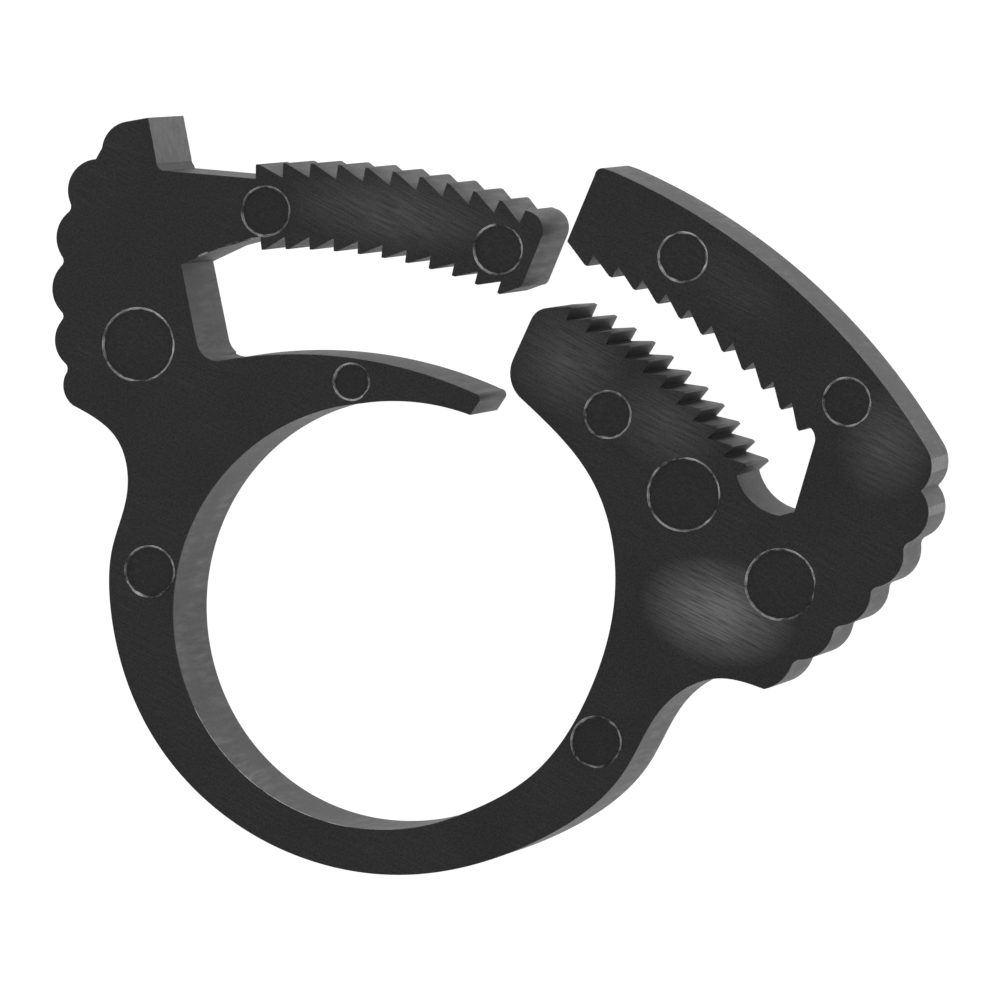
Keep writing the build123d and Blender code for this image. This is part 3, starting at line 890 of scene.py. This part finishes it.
    def dash(self, start: Point, end: Point) -> bpy.types.Object:
        """Make a short tapering bead of flash.

        Args:
            start: Where it starts.
            end: Where it ends.

        Returns:
            The bead.
        """
        (ax, ay), (bx, by) = start, end
        length = ((bx - ax) ** 2 + (by - ay) ** 2) ** 0.5
        bpy.ops.object.select_all(action="DESELECT")
        bpy.ops.mesh.primitive_uv_sphere_add(segments=12, ring_count=8, radius=self.bead * MM)
        bead = bpy.context.active_object
        stretch = Matrix.Diagonal((length / 2 / self.bead, 0.9, 0.9, 1))
        turn = Matrix.Rotation(atan2(by - ay, bx - ax), 4, "Z")
        place = Matrix.Translation(at(((ax + bx) / 2, (ay + by) / 2), WIDTH - 0.01))
        bead.data.transform(place @ turn @ stretch)
        return bead


@dataclass
class Moulding:
    """The whole clamp before it is parted into the zones that move."""

    tongue_side: TongueSide = field(default_factory=TongueSide)
    fork_side: ForkSide = field(default_factory=ForkSide)
    band: Band = field(default_factory=Band)
    marks: SurfaceMarks = field(default_factory=SurfaceMarks)
    corner_mm: float = 0.07      # radius of the corners
    corner_deg: float = 24.0     # a corner turns more than this
    smooth_deg: float = 20.0     # faces that turn less than this are shaded as one curve

    def outline(self) -> list[Point]:
        """Give the closed outline, clockwise from under the tip of the lip."""
        pen = Pen()
        self.band.draw_bore(pen)
        self.fork_side.draw_inner_jaw(pen)
        self.fork_side.draw_outer_jaw(pen)
        self.band.draw_back(pen, self.tongue_side.notches[-1])
        self.tongue_side.draw_head(pen)
        self.tongue_side.draw_tongue(pen)
        self.tongue_side.draw_lip(pen)
        return pen.points[:-1]

    def whole(self) -> bpy.types.Object:
        """Make the whole clamp as one closed mesh and return it."""
        body = slab("clamp_whole", self.outline(), 0, WIDTH)
        self.draft(body)
        modify(body, "BEVEL", width=self.corner_mm * MM, segments=2, limit_method="ANGLE",
               angle_limit=radians(self.corner_deg), miter_outer="MITER_SHARP")
        combine(body, self.marks.beads(), "UNION")
        combine(body, self.marks.cutters(), "DIFFERENCE")
        return body

    def draft(self, body: bpy.types.Object) -> None:
        """Slope the walls where the mould does, by moving the foot of each one.

        The fork's walls lean in towards the foot. The bore, the slot and the shoulder over the tongue lean out.

        Args:
            body: The whole clamp, before its corners are rounded.
        """
        start, end, lean = self.fork_side.draft
        left, low, right, high = self.tongue_side.shoulder_box
        slot_left, slot_low, slot_right, slot_high = self.tongue_side.slot_box
        for vertex in body.data.vertices:
            x, y = vertex.co.x / MM, vertex.co.y / MM
            shift = 0.0
            if vertex.co.z > WIDTH / 2 * MM:
                continue
            if left < x < right and low < y < high:
                shift = self.tongue_side.shoulder_draft * min(1, 2 * (right - x))
            elif x > start:
                shift = -lean * ((x - start) / (end - start)) ** 1.5
            elif x < 0 and abs(Vector((x, y)).length - self.band.bore_r) < self.band.bore_found_within:
                shift = self.band.core_draft * (x / self.band.bore_r) ** 2
            elif slot_left < x < slot_right and slot_low < y < slot_high:
                shift = self.tongue_side.slot_draft
            vertex.co.x += shift * MM

    def part(self, whole: bpy.types.Object, zone: Zone, skins: Sequence[bpy.types.Material]) -> bpy.types.Object:
        """Cut one zone out of the whole clamp and finish it; a zone on one body is hung on it, a zone that bends is
        left where it lies.

        Args:
            whole: The whole clamp.
            zone: What to cut out.
            skins: Materials in the order of Skin.

        Returns:
            The finished piece.
        """
        pick(whole)
        bpy.ops.object.duplicate()
        piece = bpy.context.active_object
        piece.name = piece.data.name = zone.name
        combine(piece, slab("keep", zone.keep, -CUT_PAST, WIDTH + CUT_PAST), "INTERSECT")
        for plan in zone.less:
            combine(piece, slab("less", plan, -CUT_PAST, WIDTH + CUT_PAST), "DIFFERENCE")
        if zone.loops:
            cut_loops(piece, zone.loops)
        modify(piece, "TRIANGULATE", min_vertices=5)
        self.dress(piece, skins)
        if zone.replaces:
            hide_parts(*zone.replaces)
        if zone.bend:
            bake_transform(piece)
        else:
            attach(piece, zone.bodies[0])
        return piece

    def dress(self, piece: bpy.types.Object, skins: Sequence[bpy.types.Material]) -> None:
        """Give each face its finish by the way it faces, so that walls and corners get lighter copies of the nylon
        that are partly painted light, and smooth the curves.
        """
        piece.data.materials.clear()
        for skin in skins:
            piece.data.materials.append(skin)
        for polygon in piece.data.polygons:
            # painted light: upright walls and corners take lighter copies of the nylon than the flat tops
            rise = abs(polygon.normal.z)
            skin = Skin.FACE if rise > 0.99 else Skin.WALL if rise < 0.05 else Skin.EDGE
            if polygon.center.z > (WIDTH - self.marks.skin_depth) * MM:
                skin = self.marks.skin_at((polygon.center.x / MM, polygon.center.y / MM), skin)
            polygon.material_index = skin.value
        pick(piece)
        bpy.ops.object.shade_smooth_by_angle(angle=radians(self.smooth_deg))

    def build(self) -> list[bpy.types.Object]:
        """Make every piece of the clamp and return them."""
        skins = [finish.build() for finish in (FACE, WALL, EDGE, PIN, FLASH)]
        whole = self.whole()
        pieces = []
        for zone in [*self.tongue_side.zones(), *self.fork_side.zones(), *self.band.zones()]:
            piece = self.part(whole, zone, skins)
            LOG.info("%s: %d faces, on %s", piece.name, len(piece.data.polygons), " and ".join(zone.bodies))
            pieces.append(piece)
        discard(whole)
        return pieces


# ------------------------------------------------------------------ the studio


@dataclass
class Studio:
    """A backlit white table, white walls all round, a dim ceiling and a soft light overhead."""

    floor_half: float = 2000.0
    wall_glow: float = 1.0
    ceiling_glow: float = 0.17
    wall_top: float = 0.25       # sine of the height at which the walls start to darken
    ceiling_edge: float = 0.80   # sine of the height at which the ceiling starts
    softbox_w: float = 1.2
    softbox_size: float = 500.0
    softbox_at: tuple[float, float, float] = (-350.0, 450.0, 800.0)

    def build(self) -> None:
        """Make the floor, the walls and the light."""
        bpy.ops.object.select_all(action="DESELECT")
        bpy.ops.mesh.primitive_plane_add(size=2 * self.floor_half * MM, location=(0, 0, -0.02 * MM))
        floor = bpy.context.active_object
        floor.name = "light_table"
        floor.data.materials.append(LightTableFinish().build())
        self.surround()
        place = Vector([v * MM for v in self.softbox_at])
        bpy.ops.object.light_add(type="AREA", location=place)
        softbox = bpy.context.active_object
        softbox.name = "softbox"
        softbox.rotation_euler = (Vector(at((8, 8), 0)) - place).to_track_quat("-Z", "Y").to_euler()
        softbox.data.energy = self.softbox_w
        softbox.data.size = self.softbox_size * MM
        bpy.context.scene.view_settings.view_transform = "Standard"

    def surround(self) -> None:
        """Make the walls and the ceiling, as light from all round that dims towards the top."""
        world = bpy.data.worlds.new("studio_walls")
        bpy.context.scene.world = world
        world.use_nodes = True
        tree = world.node_tree
        tree.nodes.clear()
        heading = add_node(tree, "ShaderNodeTexCoord").outputs["Generated"]
        height = add_node(tree, "ShaderNodeSeparateXYZ", {"Vector": heading}).outputs["Z"]
        strength = add_node(tree, "ShaderNodeMapRange", {
            "Value": height, "From Min": self.wall_top, "From Max": self.ceiling_edge, "To Min": self.wall_glow,
            "To Max": self.ceiling_glow}, interpolation_type="SMOOTHSTEP").outputs["Result"]
        glow = add_node(tree, "ShaderNodeBackground", {"Color": (1.0, 1.0, 1.0, 1.0), "Strength": strength})
        add_node(tree, "ShaderNodeOutputWorld", {"Surface": glow.outputs["Background"]})


@dataclass
class ProductCamera:
    """The camera, nearly overhead with +Y up in its picture."""

    place: tuple[float, float, float] = (197.97, 50.217, 784.17)
    target: tuple[float, float, float] = (8.759, 8.348, 8.0)
    lens: float = 409.0
    sensor: float = 36.0

    def build(self) -> None:
        """Make the camera and make it the scene's own."""
        place, target = (Vector([v * MM for v in point]) for point in (self.place, self.target))
        back = (place - target).normalized()
        right = Vector((0, 1, 0)).cross(back).normalized()
        up = back.cross(right)
        turned = Matrix((right, up, back)).transposed().to_4x4()
        bpy.ops.object.camera_add()
        camera = bpy.context.active_object
        camera.matrix_world = Matrix.Translation(place) @ turned
        camera.data.lens = self.lens
        camera.data.sensor_width = self.sensor
        camera.data.clip_start, camera.data.clip_end = 0.01, 20.0
        bpy.context.scene.camera = camera


def main() -> None:
    """Build the clamp, the studio and the camera."""
    logging.basicConfig(level=logging.INFO, format="%(name)s: %(message)s")
    ProductCamera().build()
    pieces = Moulding().build()
    LOG.info("%d pieces, %d faces", len(pieces), sum(len(p.data.polygons) for p in pieces))
    Studio().build()


if __name__ == "__main__":
    main()
